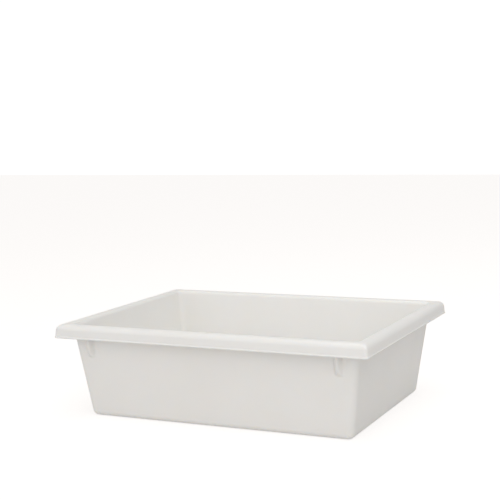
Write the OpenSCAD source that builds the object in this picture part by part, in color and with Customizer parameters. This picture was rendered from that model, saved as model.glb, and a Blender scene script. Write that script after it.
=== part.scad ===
// Deep one-piece developing tray, in millimetres.
// The origin is at the middle of the underside: X runs along the tray, -Y is the front and +Z is up.
// The tray is one moulded skin. Its section runs out under the floor, up the wall, round the hollow
// rim and back down the inside, and every station of that section is a rounded rectangle in plan.

/* [Overall] */
// Length over the rim
tray_l = 483; // [300:1:700]
// Width over the rim
tray_w = 369; // [220:1:560]
// Height from the underside to the top of the rim
tray_h = 140; // [80:1:240]

/* [Walls and floor] */
// Thickness of the walls and of the top of the rim
wall_t = 2.8; // [2:0.1:4]
// Thickness of the floor
floor_t = 3; // [2:0.1:5]
// Lean of the walls from upright, in degrees
draft_deg = 7.8; // [3:0.1:12]
// Outside radius of the four upright corners, seen from above
corner_r = 10.7; // [10:0.1:40]
// Outside radius along the bottom edge
base_r = 9.4; // [5:0.1:10]

/* [Rim] */
// From the outside of the rim to the wall, at the height of the rim's lower edge
rim_reach = 20.3; // [14:0.1:40]
// Radius of the rim's corners, seen from above
rim_corner_r = 5; // [3:0.1:20]
// Rounding between the rim's top and the wall inside the tray
rim_in_r = 6; // [3:0.1:8]
// Rounding between the rim's top and its skirt
rim_out_r = 8.5; // [3:0.1:10]
// Height of the rim, down to the lower edge of its skirt
skirt_h = 19.5; // [12:0.1:40]
// Thickness of the skirt
skirt_t = 2.5; // [1.5:0.1:4]
// Lean of the skirt from upright, in degrees, wider at the bottom
skirt_lean_deg = 5; // [0:0.1:8]
// How far the bead along the skirt's lower edge stands proud
bead_out = 0.6; // [0.2:0.1:1.5]

/* [Stacking lugs] */
// Width of a lug along the rim
lug_w = 9; // [4:0.5:40]
// How far a lug stands out from the wall
lug_depth = 8; // [3:0.5:12]
// How far a lug reaches below the skirt
lug_drop = 30; // [10:1:45]
// From the end of the tray to the middle of the nearest lug
lug_from_end = 49; // [40:1:120]

/* [Hidden] */

corner_steps = 8;
arc_steps = 6;
bead_steps = 10;
bead_end_steps = 4;
lug_steps = 8;
least_r = 0.5;

half_l = tray_l / 2;
half_w = tray_w / 2;
skirt_z = tray_h - skirt_h;

// Outside of the wall at height z, measured in from the outside of the rim
lean = tan(draft_deg);
function wall_in(z) = rim_reach + (skirt_z - z) * lean;
wall_slant_t = wall_t / cos(draft_deg);
function inner_in(z) = wall_in(z) + wall_slant_t;

// Outside and inside of the skirt at height z, measured in the same way
skirt_slope = tan(skirt_lean_deg);
function skirt_in(z) = bead_out + (z - skirt_z) * skirt_slope;
function skirt_back_in(z) = skirt_in(z) + skirt_t / cos(skirt_lean_deg);

// Centres of the roundings, as [distance in, height]
base_c = [wall_in(base_r) + base_r / cos(draft_deg), base_r];
inner_base_r = max(base_r - wall_t, least_r);
inner_base_z = floor_t + inner_base_r;
inner_base_c = [inner_in(inner_base_z) + inner_base_r / cos(draft_deg), inner_base_z];
rim_in_z = tray_h - rim_in_r;
rim_in_c = [inner_in(rim_in_z) - rim_in_r / cos(draft_deg), rim_in_z];
rim_out_z = tray_h - rim_out_r;
rim_out_c = [skirt_in(rim_out_z) + rim_out_r / cos(skirt_lean_deg), rim_out_z];

// The hollow under the rim has roundings that leave the same thickness of plastic
rim_under_z = tray_h - wall_t;
root_r = max(rim_in_r - wall_t, least_r);
root_z = rim_under_z - root_r;
root_c = [wall_in(root_z) - root_r / cos(draft_deg), root_z];
hollow_r = max(rim_out_r - wall_t, least_r);
hollow_z = rim_under_z - hollow_r;
hollow_c = [skirt_back_in(hollow_z) + hollow_r / cos(skirt_lean_deg), hollow_z];

// The bead is a round rod along the skirt's lower edge
bead_r = (skirt_t + bead_out) / 2 + 0.1;
bead_c = [bead_r, skirt_z + bead_r];
bead_skirt_deg = acos((bead_c[0] - skirt_in(bead_c[1])) * cos(skirt_lean_deg) / bead_r);
bead_back_deg = acos(min((skirt_back_in(bead_c[1]) - bead_c[0]) * cos(skirt_lean_deg) / bead_r, 1));
bead_from_deg = 180 + skirt_lean_deg - bead_back_deg;
bead_to_deg = skirt_lean_deg + bead_skirt_deg;

// An arc of the section: its angles run from outwards (0) over upwards (90) to inwards (180)
function arc(c, r, from, to, steps) =
    [for (i = [0:steps]) let (a = from + (to - from) * i / steps) [c[0] - r * cos(a), c[1] + r * sin(a)]];

// Corner radii in plan
inner_corner_r = corner_r - wall_t;
function wall_ring(p, tangent_in, r) = [p[0], p[1], max(r - (p[0] - tangent_in), least_r)];
rim_fade = 0.8 * rim_corner_r / rim_out_c[0];
function rim_ring(p) = [p[0], p[1], rim_corner_r - rim_fade * min(p[0], rim_out_c[0])];
function skirt_back_ring(p) = [p[0], p[1], max(rim_corner_r - skirt_t, 1)];

base_tangent_in = base_c[0] - base_r * cos(draft_deg);
inner_base_tangent_in = inner_base_c[0] - inner_base_r * cos(draft_deg);

// The whole section, as [distance in, height, corner radius in plan], from under the floor round to
// the top of the floor
section = concat(
    [for (p = arc(base_c, base_r, -90, -draft_deg, arc_steps)) wall_ring(p, base_tangent_in, corner_r)],
    [for (p = arc(root_c, root_r, 180 - draft_deg, 90, arc_steps)) [p[0], p[1], corner_r]],
    [for (p = arc(hollow_c, hollow_r, 90, skirt_lean_deg, arc_steps)) skirt_back_ring(p)],
    [for (p = arc(bead_c, bead_r, bead_from_deg, 360, bead_steps))
        p[0] > bead_c[0] ? skirt_back_ring(p) : rim_ring(p)],
    [for (p = arc(bead_c, bead_r, 360 + bead_to_deg / bead_end_steps, 360 + bead_to_deg, bead_end_steps - 1))
        rim_ring(p)],
    [for (p = arc(rim_out_c, rim_out_r, skirt_lean_deg, 90, arc_steps)) rim_ring(p)],
    [for (p = arc(rim_in_c, rim_in_r, 90, 180 - draft_deg, arc_steps))
        [p[0], p[1], inner_corner_r + inner_in(p[1]) - p[0]]],
    [for (p = arc(inner_base_c, inner_base_r, -draft_deg, -90, arc_steps))
        wall_ring(p, inner_base_tangent_in, inner_corner_r)]);

// One station of the section as a ring of points, anticlockwise from above
function ring(s) = let (x = half_l - s[0] - s[2], y = half_w - s[0] - s[2])
    [for (k = [0:3], i = [0:corner_steps]) let (a = 90 * (k + i / corner_steps))
        [(k == 0 || k == 3 ? x : -x) + s[2] * cos(a), (k < 2 ? y : -y) + s[2] * sin(a), s[1]]];

ring_n = 4 * (corner_steps + 1);
last_ring = len(section) - 1;

module skin() {
    points = [for (s = section) each ring(s)];
    under_face = [for (i = [0:ring_n - 1]) i];
    floor_face = [for (i = [ring_n - 1:-1:0]) last_ring * ring_n + i];
    sides = [for (s = [0:last_ring - 1], i = [0:ring_n - 1])
        let (a = s * ring_n + i, b = s * ring_n + (i + 1) % ring_n) [a, a + ring_n, b + ring_n, b]];
    polyhedron(points = points, faces = concat([under_face], sides, [floor_face]), convexity = 8);
}

// A lug is a rib on the outside of the wall, from the underside of the rim down to a curved foot.
// Its section is in [distance in, height], and it is bedded into the middle of the plastic around it.
lug_bed = wall_t / 2;
lug_top_in = max(wall_in(rim_under_z) - lug_depth, hollow_c[0]);
lug_foot_z = skirt_z - lug_drop;
lug_knee = 0.85;
lug_knee_z = skirt_z - lug_drop * lug_knee;
lug_nose = [[wall_in(skirt_z) - lug_depth, skirt_z],
            [wall_in(lug_knee_z) - lug_depth, lug_knee_z],
            [wall_in(lug_foot_z) + lug_bed, lug_foot_z]];
function curve(p, t) = (1 - t) * (1 - t) * p[0] + 2 * t * (1 - t) * p[1] + t * t * p[2];
lug_section = concat(
    arc(rim_in_c, rim_in_r - lug_bed, 180 - draft_deg, 90, arc_steps),
    [[lug_top_in, tray_h - lug_bed]],
    [for (i = [0:lug_steps]) curve(lug_nose, i / lug_steps)]);

module lug() {
    translate([lug_w / 2, -half_w, 0])
        rotate([90, 0, -90])
            linear_extrude(height = lug_w)
                polygon([for (p = lug_section) [-p[0], p[1]]]);
}

module tray() {
    lug_x = half_l - lug_from_end;
    color([0.93, 0.93, 0.91])
        union() {
            skin();
            for (x = [-lug_x, lug_x], turn = [0, 180])
                rotate([0, 0, turn]) translate([x, 0, 0]) lug();
        }
}

tray();
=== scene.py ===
import math

import bpy
from mathutils import Matrix, Vector


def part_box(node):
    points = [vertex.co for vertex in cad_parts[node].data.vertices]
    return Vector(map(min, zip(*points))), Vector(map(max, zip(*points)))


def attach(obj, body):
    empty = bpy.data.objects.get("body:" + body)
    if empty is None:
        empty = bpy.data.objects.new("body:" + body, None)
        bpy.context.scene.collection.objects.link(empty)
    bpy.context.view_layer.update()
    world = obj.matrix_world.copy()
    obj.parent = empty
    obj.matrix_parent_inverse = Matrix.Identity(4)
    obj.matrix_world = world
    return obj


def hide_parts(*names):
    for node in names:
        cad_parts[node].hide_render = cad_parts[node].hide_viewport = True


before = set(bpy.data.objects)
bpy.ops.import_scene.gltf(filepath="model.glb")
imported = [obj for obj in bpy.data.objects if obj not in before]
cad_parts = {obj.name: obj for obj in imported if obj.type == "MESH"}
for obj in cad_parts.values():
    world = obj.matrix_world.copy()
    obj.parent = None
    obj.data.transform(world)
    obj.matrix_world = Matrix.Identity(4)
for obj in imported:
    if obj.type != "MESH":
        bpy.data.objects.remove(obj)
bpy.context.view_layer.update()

# ---------------------------------------------------------------------------------------------
# The tray. One injection moulding in natural-white polyethylene: a flat floor, four drafted
# walls, a hollow rim turned down to a skirt with a bead along its edge, and four stacking lugs,
# ribs on the two long walls under the rim. Nothing is fixed to it: one closed skin is the whole.
# ---------------------------------------------------------------------------------------------
half_length, half_width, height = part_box("tray")[1]

WALL = 0.0028
FLOOR = 0.003
DRAFT = math.radians(7.8)
SKIRT_LEAN = math.radians(5)
SKIRT_WALL = 0.0025
SKIRT_DROP = 0.0195
RIM_REACH = 0.0203
BEAD_PROUD = 0.0006
BEAD_SPARE = 0.0001

# Roundings of the section, and of the corners seen from above
BASE_R = 0.0094
RIM_IN_R = 0.006
RIM_OUT_R = 0.0085
CORNER_R = 0.0107
RIM_CORNER_R = 0.005
RIM_CORNER_TOP_R = 0.001
SKIRT_BACK_CORNER_R = 0.0025
LEAST_CORNER_R = 0.0006

LUG_DEPTH = 0.008
LUG_DROP = 0.03
LUG_FROM_END = 0.049

skirt_foot = height - SKIRT_DROP


# Distances in from the outside of the rim, at height z
def wall_in(z):
    return RIM_REACH + (skirt_foot - z) * math.tan(DRAFT)


def inner_in(z):
    return wall_in(z) + WALL / math.cos(DRAFT)


def skirt_in(z):
    return BEAD_PROUD + (z - skirt_foot) * math.tan(SKIRT_LEAN)


def skirt_back_in(z):
    return skirt_in(z) + SKIRT_WALL / math.cos(SKIRT_LEAN)


# The section is a list of stations, each [distance in, height, corner radius in plan]. An arc's
# angles run from outwards (0) over upwards (90) to inwards (180), and a run is the points at the
# given shares of the straight way from one point to another.
def arc(centre, radius, start, end, steps):
    turns = [math.radians(start + (end - start) * i / steps) for i in range(steps + 1)]
    return [(centre[0] - radius * math.cos(a), centre[1] + radius * math.sin(a)) for a in turns]


def run(first, last, shares):
    return [tuple(p + (q - p) * share for p, q in zip(first, last)) for share in shares]


def fading(points, radius, tangent_in):
    return [(x, z, max(radius - (x - tangent_in), LEAST_CORNER_R)) for x, z in points]


def fixed(points, radius):
    return [(x, z, radius) for x, z in points]


BASE_STEPS = 10
ROOT_STEPS = 8
HOLLOW_STEPS = 6
BEAD_STEPS = 22
RIM_OUT_STEPS = 12
RIM_IN_STEPS = 14
WELL_STEPS = 10

draft_deg = math.degrees(DRAFT)
lean_deg = math.degrees(SKIRT_LEAN)
inner_corner_r = CORNER_R - WALL

base_centre = (wall_in(BASE_R) + BASE_R / math.cos(DRAFT), BASE_R)
base_arc = arc(base_centre, BASE_R, -90, -draft_deg, BASE_STEPS)

# The hollow under the rim follows the rim's own roundings, one wall's thickness inside them
root_r = RIM_IN_R - WALL
root_z = height - WALL - root_r
root_centre = (wall_in(root_z) - root_r / math.cos(DRAFT), root_z)
root_arc = arc(root_centre, root_r, 180 - draft_deg, 90, ROOT_STEPS)
hollow_r = RIM_OUT_R - WALL
hollow_z = height - WALL - hollow_r
hollow_centre = (skirt_back_in(hollow_z) + hollow_r / math.cos(SKIRT_LEAN), hollow_z)
hollow_arc = arc(hollow_centre, hollow_r, 90, lean_deg, HOLLOW_STEPS)

# The bead is a round rod, from where it leaves the skirt's back to where it meets its front
bead_r = (SKIRT_WALL + BEAD_PROUD) / 2 + BEAD_SPARE
bead_centre = (bead_r, skirt_foot + bead_r)
bead_back_share = (skirt_back_in(bead_centre[1]) - bead_r) * math.cos(SKIRT_LEAN) / bead_r
bead_front_share = (bead_r - skirt_in(bead_centre[1])) * math.cos(SKIRT_LEAN) / bead_r
bead_start = 180 + lean_deg - math.degrees(math.acos(bead_back_share))
bead_end = 360 + lean_deg + math.degrees(math.acos(bead_front_share))
bead_arc = arc(bead_centre, bead_r, bead_start, bead_end, BEAD_STEPS)

rim_out_z = height - RIM_OUT_R
rim_out_centre = (skirt_in(rim_out_z) + RIM_OUT_R / math.cos(SKIRT_LEAN), rim_out_z)
rim_out_arc = arc(rim_out_centre, RIM_OUT_R, lean_deg, 90, RIM_OUT_STEPS)
rim_in_z = height - RIM_IN_R
rim_in_centre = (inner_in(rim_in_z) - RIM_IN_R / math.cos(DRAFT), rim_in_z)
rim_in_arc = arc(rim_in_centre, RIM_IN_R, 90, 180 - draft_deg, RIM_IN_STEPS)
well_r = BASE_R - WALL
well_z = FLOOR + well_r
well_centre = (inner_in(well_z) + well_r / math.cos(DRAFT), well_z)
well_arc = arc(well_centre, well_r, -draft_deg, -90, WELL_STEPS)

lug_foot = (wall_in(skirt_foot - LUG_DROP), skirt_foot - LUG_DROP)
lug_top = (wall_in(root_arc[-1][1]) - LUG_DEPTH, root_arc[-1][1])

# Where the stations stand on the straight stretches, as shares of the way. They are closer
# together beside a rounding, which keeps its shading out of the flat part.
FLOOR_SHARES = [0.008, 0.06, 0.25, 0.55, 0.85]
BELOW_LUG_SHARES = [0.015, 0.25, 0.5, 0.75, 0.97]
BEHIND_LUG_SHARES = [0.0, 0.03, 0.07, 0.13, 0.2, 0.3, 0.42, 0.54, 0.66, 0.78, 0.9, 0.97]
UNDER_RIM_SHARES = [0.3, 0.6, 0.85, 1]
SKIRT_SHARES = [0.02, 0.2, 0.5, 0.8, 0.98]
RIM_TOP_SHARES = [0.1, 0.5, 0.9]
INNER_WALL_SHARES = [0.01, 0.15, 0.3, 0.5, 0.7, 0.85, 0.99]


def rim_corner(x):
    fade = (RIM_CORNER_R - RIM_CORNER_TOP_R) / rim_out_arc[-1][0]
    return RIM_CORNER_R - fade * min(x, rim_out_arc[-1][0])


def flat(x_start, z):
    return [(x_start + (half_width - x_start) * share, z, LEAST_CORNER_R) for share in FLOOR_SHARES]


outside = [(half_width, 0.0, 0.0)] + flat(base_arc[0][0], 0.0)[::-1]
outside += fading(base_arc, CORNER_R, base_arc[-1][0])
outside += fixed(run(base_arc[-1], lug_foot, BELOW_LUG_SHARES), CORNER_R)
behind_lug = fixed(run(lug_foot, root_arc[0], BEHIND_LUG_SHARES) + root_arc, CORNER_R)
behind_lug += fixed(run(root_arc[-1], lug_top, UNDER_RIM_SHARES), CORNER_R)
skirt_back = run(hollow_arc[-1], bead_arc[0], SKIRT_SHARES)
bead_back_arc = [point for point in bead_arc if point[0] > bead_r]
hollow = fixed(hollow_arc + skirt_back + bead_back_arc, SKIRT_BACK_CORNER_R)
bead_front_arc = [point for point in bead_arc if point[0] <= bead_r]
rim_face_points = bead_front_arc + run(bead_arc[-1], rim_out_arc[0], SKIRT_SHARES) + rim_out_arc
rim_face = [(x, z, rim_corner(x)) for x, z in rim_face_points]
rim_top = fixed(run(rim_out_arc[-1], rim_in_arc[0], RIM_TOP_SHARES), RIM_CORNER_TOP_R)
inside_points = rim_in_arc + run(rim_in_arc[-1], well_arc[0], INNER_WALL_SHARES)
inside = [(x, z, inner_corner_r + inner_in(z) - x) for x, z in inside_points]
inside += fading(well_arc, inner_corner_r, well_arc[0][0])
inside += flat(well_arc[-1][0], FLOOR) + [(half_width, FLOOR, 0.0)]
stations = outside + behind_lug + hollow + rim_face + rim_top + inside

# At a lug the stations behind it move out to the lug's own outline, which curves out from its
# foot and runs up to the underside of the rim. Each keeps its share of the way along.
NOSE_KNEE = 0.85
NOSE_STEPS = 200
nose_top = (wall_in(skirt_foot) - LUG_DEPTH, skirt_foot)
nose_knee_z = skirt_foot - LUG_DROP * NOSE_KNEE
nose_knee = (wall_in(nose_knee_z) - LUG_DEPTH, nose_knee_z)


def nose(t):
    ends = [(1 - t) ** 2 * foot + t**2 * top for foot, top in zip(lug_foot, nose_top)]
    return tuple(end + 2 * t * (1 - t) * knee for end, knee in zip(ends, nose_knee))


def shares_along(points):
    total = [0.0]
    for a, b in zip(points, points[1:]):
        total.append(total[-1] + math.dist(a, b))
    return [length / total[-1] for length in total]


def at_share(points, shares, share):
    i = max(j for j in range(len(shares) - 1) if shares[j] <= share)
    part = (share - shares[i]) / (shares[i + 1] - shares[i])
    return run(points[i], points[i + 1], [part])[0]


nose_points = [nose(i / NOSE_STEPS) for i in range(NOSE_STEPS + 1)] + [lug_top]
nose_shares = shares_along(nose_points)
wall_shares = shares_along([station[:2] for station in behind_lug])
lugged = [at_share(nose_points, nose_shares, min(share, 1.0)) for share in wall_shares]

section_mesh = bpy.data.meshes.new("tray_section")
section_mesh.from_pydata([(station[0], 0, station[1]) for station in stations], [], [])
corner_value = section_mesh.attributes.new("corner", "FLOAT", "POINT")
lug_value = section_mesh.attributes.new("lug_point", "FLOAT_VECTOR", "POINT")
for i, (x, z, corner_r) in enumerate(stations):
    corner_value.data[i].value = corner_r
    behind = i - len(outside)
    lug_x, lug_z = lugged[behind] if 0 <= behind < len(lugged) else (x, z)
    lug_value.data[i].vector = (lug_x, 0, lug_z)
section = bpy.data.objects.new("tray_section", section_mesh)
bpy.context.scene.collection.objects.link(section)

# The path round the tray is a list of columns. Each says which corner or side it belongs to
# (far), where its corner's rounding points (turn), how far it stands along its side, and how
# much of a lug it has. A lug has a narrow flat face, and flanks that slope back into the wall.
CORNER_STEPS = 14
CORNER_SUPPORT = 0.0015
SIDE_STOPS = (-0.45, -0.15, 0.15, 0.45)
LUG_FACE_HALF = 0.0010
LUG_ROOT_HALF = 0.0080
LUG_STEPS = 8
lug_middle = half_length - LUG_FROM_END


def lug_profile():
    rows = []
    for i in range(LUG_STEPS + 1):
        share = i / LUG_STEPS
        out = LUG_FACE_HALF + (LUG_ROOT_HALF - LUG_FACE_HALF) * share
        rows.append((out, (1 + math.cos(math.pi * share)) / 2))
    return rows


def side_columns(axis, side):
    # Along a side from its start to its end, as [far, turn, along, lug]
    facing = Vector((0, side)) if axis == 0 else Vector((side, 0))
    forward = Vector((-side, 0)) if axis == 0 else Vector((0, side))
    reach = half_length if axis == 0 else half_width
    stops = [(share * reach, 0) for share in SIDE_STOPS]
    if axis == 0:
        for middle in (-lug_middle, lug_middle):
            for out, share in lug_profile():
                stops.append((middle - out, share))
                stops.append((middle + out, share))
    rows = [(facing - forward, facing, forward * CORNER_SUPPORT, 0)]
    rows += [(facing, facing, forward * along, share) for along, share in sorted(stops)]
    return rows + [(facing + forward, facing, -forward * CORNER_SUPPORT, 0)]


# Anticlockwise from above, each corner is followed by the side that starts at it: back, left,
# front and right
CORNERS = ((1, 1), (-1, 1), (-1, -1), (1, -1))
SIDES = (1, -1, -1, 1)
columns = []
for quarter in range(4):
    for i in range(CORNER_STEPS + 1):
        a = math.radians(90 * (quarter + i / CORNER_STEPS))
        columns.append((Vector(CORNERS[quarter]), Vector((math.cos(a), math.sin(a))), Vector((0, 0)), 0))
    columns += side_columns(quarter % 2, SIDES[quarter])

# The path's own points only carry the values of the columns, so they stand anywhere in a row
PATH_SPACING = 0.001
path_mesh = bpy.data.meshes.new("tray_path")
path_mesh.from_pydata([(i * PATH_SPACING, 0, 0) for i in range(len(columns))], [], [])
for part, name in enumerate(("far", "turn", "along")):
    values = path_mesh.attributes.new(name, "FLOAT_VECTOR", "POINT")
    for i, column in enumerate(columns):
        values.data[i].vector = (*column[part], 0)
values = path_mesh.attributes.new("lug", "FLOAT", "POINT")
for i, column in enumerate(columns):
    values.data[i].value = column[3]
path = bpy.data.objects.new("tray_path", path_mesh)
bpy.context.scene.collection.objects.link(path)


# Node trees are wired with one call for each node: its sockets are given by name or number,
# and a value that is another node's output is linked.
def add_node(tree, kind, inputs=(), **settings):
    node = tree.nodes.new(kind)
    for name, value in settings.items():
        setattr(node, name, value)
    for key, value in dict(inputs).items():
        if isinstance(value, bpy.types.NodeSocket):
            tree.links.new(value, node.inputs[key])
        else:
            node.inputs[key].default_value = value
    return node


def add_math(tree, operation, *values):
    return add_node(tree, "ShaderNodeMath", dict(enumerate(values)), operation=operation).outputs[0]


def add_vector_math(tree, operation, *values):
    return add_node(tree, "ShaderNodeVectorMath", dict(enumerate(values)), operation=operation).outputs[0]


# The sweep sets the section up at every column of the path. Point by point, its grid's index
# gives the column and the station.
sweep = bpy.data.node_groups.new("Sweep section round tray", "GeometryNodeTree")
sweep.interface.new_socket("Section", in_out="INPUT", socket_type="NodeSocketGeometry")
path_in = sweep.interface.new_socket("Path", in_out="INPUT", socket_type="NodeSocketObject")
length_in = sweep.interface.new_socket("Half Length", in_out="INPUT", socket_type="NodeSocketFloat")
width_in = sweep.interface.new_socket("Half Width", in_out="INPUT", socket_type="NodeSocketFloat")
steady_in = sweep.interface.new_socket("Steady Inset", in_out="INPUT", socket_type="NodeSocketFloat")
material_in = sweep.interface.new_socket("Material", in_out="INPUT", socket_type="NodeSocketMaterial")
sweep.interface.new_socket("Skin", in_out="OUTPUT", socket_type="NodeSocketGeometry")

given = add_node(sweep, "NodeGroupInput").outputs
path_shape = add_node(sweep, "GeometryNodeObjectInfo", {"Object": given["Path"]}).outputs["Geometry"]


def add_point_count(geometry):
    return add_node(sweep, "GeometryNodeAttributeDomainSize", {"Geometry": geometry}).outputs[0]


path_points = add_point_count(path_shape)
section_points = add_point_count(given["Section"])
grid_inputs = {"Vertices X": add_math(sweep, "ADD", path_points, 1.0), "Vertices Y": section_points}
grid = add_node(sweep, "GeometryNodeMeshGrid", grid_inputs)
index = add_node(sweep, "GeometryNodeInputIndex").outputs[0]

# Half a step is added before the division, so that rounding can't put a point in the wrong row
HALF_STEP = 0.5
row = add_math(sweep, "DIVIDE", add_math(sweep, "ADD", index, HALF_STEP), section_points)
row = add_math(sweep, "FLOOR", row)
column_index = add_math(sweep, "MODULO", row, path_points)
station_index = add_math(sweep, "SUBTRACT", index, add_math(sweep, "MULTIPLY", row, section_points))


def add_sample(geometry, name, data_type, at):
    value = add_node(sweep, "GeometryNodeInputNamedAttribute", {"Name": name}, data_type=data_type).outputs[0]
    inputs = {"Geometry": geometry, "Value": value, "Index": at}
    return add_node(sweep, "GeometryNodeSampleIndex", inputs, data_type=data_type).outputs[0]


plain_point = add_sample(given["Section"], "position", "FLOAT_VECTOR", station_index)
lug_point = add_sample(given["Section"], "lug_point", "FLOAT_VECTOR", station_index)
corner_radius = add_sample(given["Section"], "corner", "FLOAT", station_index)
far = add_sample(path_shape, "far", "FLOAT_VECTOR", column_index)
turn = add_sample(path_shape, "turn", "FLOAT_VECTOR", column_index)
along = add_sample(path_shape, "along", "FLOAT_VECTOR", column_index)
lug = add_sample(path_shape, "lug", "FLOAT", column_index)


def add_scaled(vector, scale):
    return add_node(sweep, "ShaderNodeVectorMath", {0: vector, "Scale": scale}, operation="SCALE").outputs[0]


def add_plan(x, y):
    return add_node(sweep, "ShaderNodeCombineXYZ", {0: x, 1: y}).outputs[0]


lug_move = add_scaled(add_vector_math(sweep, "SUBTRACT", lug_point, plain_point), lug)
point = add_node(sweep, "ShaderNodeSeparateXYZ", {0: add_vector_math(sweep, "ADD", plain_point, lug_move)})
sizes = add_plan(given["Half Length"], given["Half Width"])


def add_straight(inset):
    # Half of each side's straight stretch, between its corners' roundings
    taken = add_math(sweep, "ADD", inset, corner_radius)
    return add_vector_math(sweep, "SUBTRACT", sizes, add_plan(taken, taken))


# Columns keep their place along a side down to the steady inset, and draw together inside it
steady = given["Steady Inset"]
steady_straight = add_vector_math(sweep, "SUBTRACT", sizes, add_plan(steady, steady))
plain_inset = add_node(sweep, "ShaderNodeSeparateXYZ", {0: plain_point}).outputs[0]
narrowing = add_vector_math(sweep, "DIVIDE", add_straight(plain_inset), steady_straight)
narrowing = add_vector_math(sweep, "MINIMUM", narrowing, (1, 1, 1))
places = add_vector_math(sweep, "MULTIPLY", far, add_straight(point.outputs[0]))
places = add_vector_math(sweep, "ADD", places, add_scaled(turn, corner_radius))
places = add_vector_math(sweep, "ADD", places, add_vector_math(sweep, "MULTIPLY", along, narrowing))
rise = add_node(sweep, "ShaderNodeCombineXYZ", {2: point.outputs[2]}).outputs[0]
places = add_vector_math(sweep, "ADD", places, rise)


def add_step(kind, geometry, inputs=()):
    return add_node(sweep, kind, {"Geometry": geometry, **dict(inputs)}).outputs[0]


# The grid's first and last columns stand in the same place, and its front and back meet along
# the middle of the floor and of the underside. Merging them there closes the skin.
MERGE_DISTANCE = 2e-6
skin = add_step("GeometryNodeSetPosition", grid.outputs[0], {"Position": places})
skin = add_step("GeometryNodeMergeByDistance", skin, {"Distance": MERGE_DISTANCE})
skin = add_step("GeometryNodeSetShadeSmooth", skin)
skin = add_step("GeometryNodeRealizeInstances", skin)
skin = add_step("GeometryNodeSetMaterial", skin, {"Material": given["Material"]})
add_node(sweep, "NodeGroupOutput", {"Skin": skin})

# Natural-white polyethylene: milky and a little translucent, satin from a finely etched mould,
# with faint clouds in its colour and its gloss.
CLOUD_SCALE = 9.0
CLOUD_DETAIL = 3.0
CLOUD_STOPS = (0.3, 0.7)
CLOUD_TINTS = ((0.865, 0.86, 0.84, 1), (0.88, 0.875, 0.86, 1))
GRAIN_SCALE = 1600.0
GRAIN_DETAIL = 2.0
GRAIN_STRENGTH = 0.06
GRAIN_DEPTH = 0.0002
HAZE_SCALE = 30.0
HAZE_DETAIL = 4.0
GLOSSIEST = 0.26
DULLEST = 0.36
POLYETHYLENE_IOR = 1.51
MILKINESS = 0.8
MILK_RADIUS = (1.0, 0.9, 0.8)
MILK_DEPTH = 0.004

plastic = bpy.data.materials.new("tray_plastic")
plastic.use_nodes = True
tree = plastic.node_tree
shader = tree.nodes["Principled BSDF"]
place = add_node(tree, "ShaderNodeTexCoord").outputs["Object"]


def add_noise(scale, detail):
    inputs = {"Vector": place, "Scale": scale, "Detail": detail}
    return add_node(plastic.node_tree, "ShaderNodeTexNoise", inputs).outputs["Fac"]


tint = add_node(tree, "ShaderNodeValToRGB", {"Fac": add_noise(CLOUD_SCALE, CLOUD_DETAIL)})
for element, stop, colour in zip(tint.color_ramp.elements, CLOUD_STOPS, CLOUD_TINTS):
    element.position = stop
    element.color = colour
tree.links.new(tint.outputs["Color"], shader.inputs["Base Color"])
grain = add_noise(GRAIN_SCALE, GRAIN_DETAIL)
bump_inputs = {"Strength": GRAIN_STRENGTH, "Distance": GRAIN_DEPTH, "Height": grain}
bump = add_node(tree, "ShaderNodeBump", bump_inputs).outputs[0]
tree.links.new(bump, shader.inputs["Normal"])
haze = add_noise(HAZE_SCALE, HAZE_DETAIL)
gloss_inputs = {"Value": haze, "To Min": GLOSSIEST, "To Max": DULLEST}
gloss = add_node(tree, "ShaderNodeMapRange", gloss_inputs).outputs[0]
tree.links.new(gloss, shader.inputs["Roughness"])
shader.inputs["IOR"].default_value = POLYETHYLENE_IOR
shader.inputs["Subsurface Weight"].default_value = MILKINESS
shader.inputs["Subsurface Radius"].default_value = MILK_RADIUS
shader.inputs["Subsurface Scale"].default_value = MILK_DEPTH

sweep_step = section.modifiers.new("Sweep", "NODES")
sweep_step.node_group = sweep
sweep_step[path_in.identifier] = path
sweep_step[length_in.identifier] = half_length
sweep_step[width_in.identifier] = half_width
sweep_step[steady_in.identifier] = wall_in(lug_foot[1]) + CORNER_R
sweep_step[material_in.identifier] = plastic
evaluated = section.evaluated_get(bpy.context.evaluated_depsgraph_get())
tray_mesh = bpy.data.meshes.new_from_object(evaluated)
tray_mesh.name = "tray_moulding"
tray_mesh.materials.clear()
tray_mesh.materials.append(plastic)
tray = bpy.data.objects.new("tray_moulding", tray_mesh)
bpy.context.scene.collection.objects.link(tray)
bpy.data.objects.remove(section)
bpy.data.objects.remove(path)

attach(tray, "root")
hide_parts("tray")

# ---------------------------------------------------------------------------------------------
# The studio. A plain pale floor that glows a little, and more to the camera alone, which then
# sees it as white.
# ---------------------------------------------------------------------------------------------
FLOOR_HALF = 6.0
FLOOR_COLOUR = (0.45, 0.445, 0.44, 1)
FLOOR_ROUGHNESS = 0.9
FLOOR_GLOW = 0.235
FLOOR_LIFT = 0.455
FLOOR_GLOW_COLOUR = (1.0, 0.985, 0.975, 1)

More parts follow.
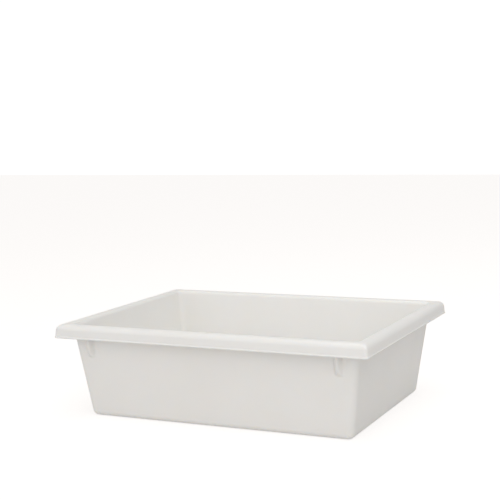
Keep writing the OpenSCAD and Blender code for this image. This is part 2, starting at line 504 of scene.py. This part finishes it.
floor_mesh = bpy.data.meshes.new("studio_floor")
floor_corners = [(x * FLOOR_HALF, y * FLOOR_HALF, 0) for x, y in ((-1, -1), (1, -1), (1, 1), (-1, 1))]
floor_mesh.from_pydata(floor_corners, [], [(0, 1, 2, 3)])
floor = bpy.data.objects.new("studio_floor", floor_mesh)
bpy.context.scene.collection.objects.link(floor)
floor_paint = bpy.data.materials.new("studio_floor")
floor_paint.use_nodes = True
tree = floor_paint.node_tree
floor_shader = tree.nodes["Principled BSDF"]
floor_shader.inputs["Base Color"].default_value = FLOOR_COLOUR
floor_shader.inputs["Roughness"].default_value = FLOOR_ROUGHNESS
floor_shader.inputs["Specular IOR Level"].default_value = 0.0
floor_shader.inputs["Emission Color"].default_value = FLOOR_GLOW_COLOUR
seen = add_node(tree, "ShaderNodeLightPath").outputs["Is Camera Ray"]
lift = add_math(tree, "MULTIPLY_ADD", seen, FLOOR_LIFT, FLOOR_GLOW)
tree.links.new(lift, floor_shader.inputs["Emission Strength"])
floor_mesh.materials.append(floor_paint)

# The room is white all round, somewhat lighter on the left and at the back, and lightest in
# front. The camera sees it as plain white.
ROOM_LIGHT = 0.50
FRONT_LIGHT = 0.82
BACK_LIGHT = 0.10
LEFT_LIGHT = 0.15
FRONT_LIGHT_TURN = math.radians(16)
LIGHT_FALL = 2.0
ROOM_COLOUR = (1.0, 0.975, 0.96, 1)
BACKDROP_LIGHT = 1.05

world = bpy.data.worlds.new("studio")
bpy.context.scene.world = world
world.use_nodes = True
tree = world.node_tree
room = tree.nodes["Background"]
direction = add_node(tree, "ShaderNodeTexCoord").outputs["Generated"]
direction_parts = add_node(tree, "ShaderNodeSeparateXYZ", {0: direction}).outputs
across = direction_parts[0]
away = direction_parts[1]
behind = add_math(tree, "MAXIMUM", away, 0.0)
before = add_math(tree, "MULTIPLY", away, -math.cos(FRONT_LIGHT_TURN))
before = add_math(tree, "MULTIPLY_ADD", across, math.sin(FRONT_LIGHT_TURN), before)
before = add_math(tree, "MAXIMUM", before, 0.0)
light = add_math(tree, "MULTIPLY_ADD", across, -LEFT_LIGHT, ROOM_LIGHT)
light = add_math(tree, "MULTIPLY_ADD", add_math(tree, "POWER", behind, LIGHT_FALL), BACK_LIGHT, light)
light = add_math(tree, "MULTIPLY_ADD", add_math(tree, "POWER", before, LIGHT_FALL), FRONT_LIGHT, light)
tree.links.new(light, room.inputs["Strength"])
room.inputs["Color"].default_value = ROOM_COLOUR
backdrop_inputs = {"Color": (1, 1, 1, 1), "Strength": BACKDROP_LIGHT}
backdrop = add_node(tree, "ShaderNodeBackground", backdrop_inputs).outputs[0]
seen = add_node(tree, "ShaderNodeLightPath").outputs["Is Camera Ray"]
mixed = add_node(tree, "ShaderNodeMixShader", {0: seen, 1: room.outputs[0], 2: backdrop}).outputs[0]
tree.links.new(mixed, tree.nodes["World Output"].inputs["Surface"])

# A large soft box hangs overhead, to the right of the tray's middle
SOFTBOX_LENGTH = 2.1
SOFTBOX_WIDTH = 1.8
SOFTBOX_PLACE = (0.48, -0.1, 1.9)
SOFTBOX_POWER = 10.4
SOFTBOX_COLOUR = (0.98, 1.0, 0.97)
softbox_light = bpy.data.lights.new("softbox", "AREA")
softbox_light.shape = "RECTANGLE"
softbox_light.size = SOFTBOX_LENGTH
softbox_light.size_y = SOFTBOX_WIDTH
softbox_light.energy = SOFTBOX_POWER
softbox_light.color = SOFTBOX_COLOUR
softbox = bpy.data.objects.new("softbox", softbox_light)
softbox.location = SOFTBOX_PLACE
bpy.context.scene.collection.objects.link(softbox)

# A smaller side light, to the right of the camera, reaches into the far left corner of the tray
SIDE_LIGHT_SIDE = 1.4
SIDE_LIGHT_PLACE = Vector((1.13, -1.18, 1.32))
SIDE_LIGHT_POWER = 4.5
side_light_data = bpy.data.lights.new("side_light", "AREA")
side_light_data.size = SIDE_LIGHT_SIDE
side_light_data.energy = SIDE_LIGHT_POWER
side_light = bpy.data.objects.new("side_light", side_light_data)
side_light.location = SIDE_LIGHT_PLACE
side_light.rotation_euler = (-SIDE_LIGHT_PLACE).to_track_quat("-Z", "Y").to_euler()
bpy.context.scene.collection.objects.link(side_light)

# The camera stands to the right of the front, above the rim and looking a little down
CAMERA_PLACE = Vector((0.73464, -1.58359, 0.43984))
CAMERA_AZIMUTH = math.radians(25.131)
CAMERA_PITCH = math.radians(6.693)
CAMERA_ROLL = math.radians(-1.454)
SENSOR = 36.0
LENS = 84.35952
back = Vector((math.sin(CAMERA_AZIMUTH) * math.cos(CAMERA_PITCH),
               -math.cos(CAMERA_AZIMUTH) * math.cos(CAMERA_PITCH), math.sin(CAMERA_PITCH)))
right = (-back).cross(Vector((0, 0, 1))).normalized()
up = right.cross(-back)
rolled_right = right * math.cos(CAMERA_ROLL) + up * math.sin(CAMERA_ROLL)
rolled_up = up * math.cos(CAMERA_ROLL) - right * math.sin(CAMERA_ROLL)
camera_data = bpy.data.cameras.new("camera")
camera_data.sensor_width = SENSOR
camera_data.lens = LENS
camera = bpy.data.objects.new("camera", camera_data)
camera_axes = Matrix((rolled_right, rolled_up, back)).transposed()
camera.matrix_world = Matrix.Translation(CAMERA_PLACE) @ camera_axes.to_4x4()
bpy.context.scene.collection.objects.link(camera)
bpy.context.scene.camera = camera
bpy.context.scene.view_settings.view_transform = "Standard"

bpy.context.view_layer.update()
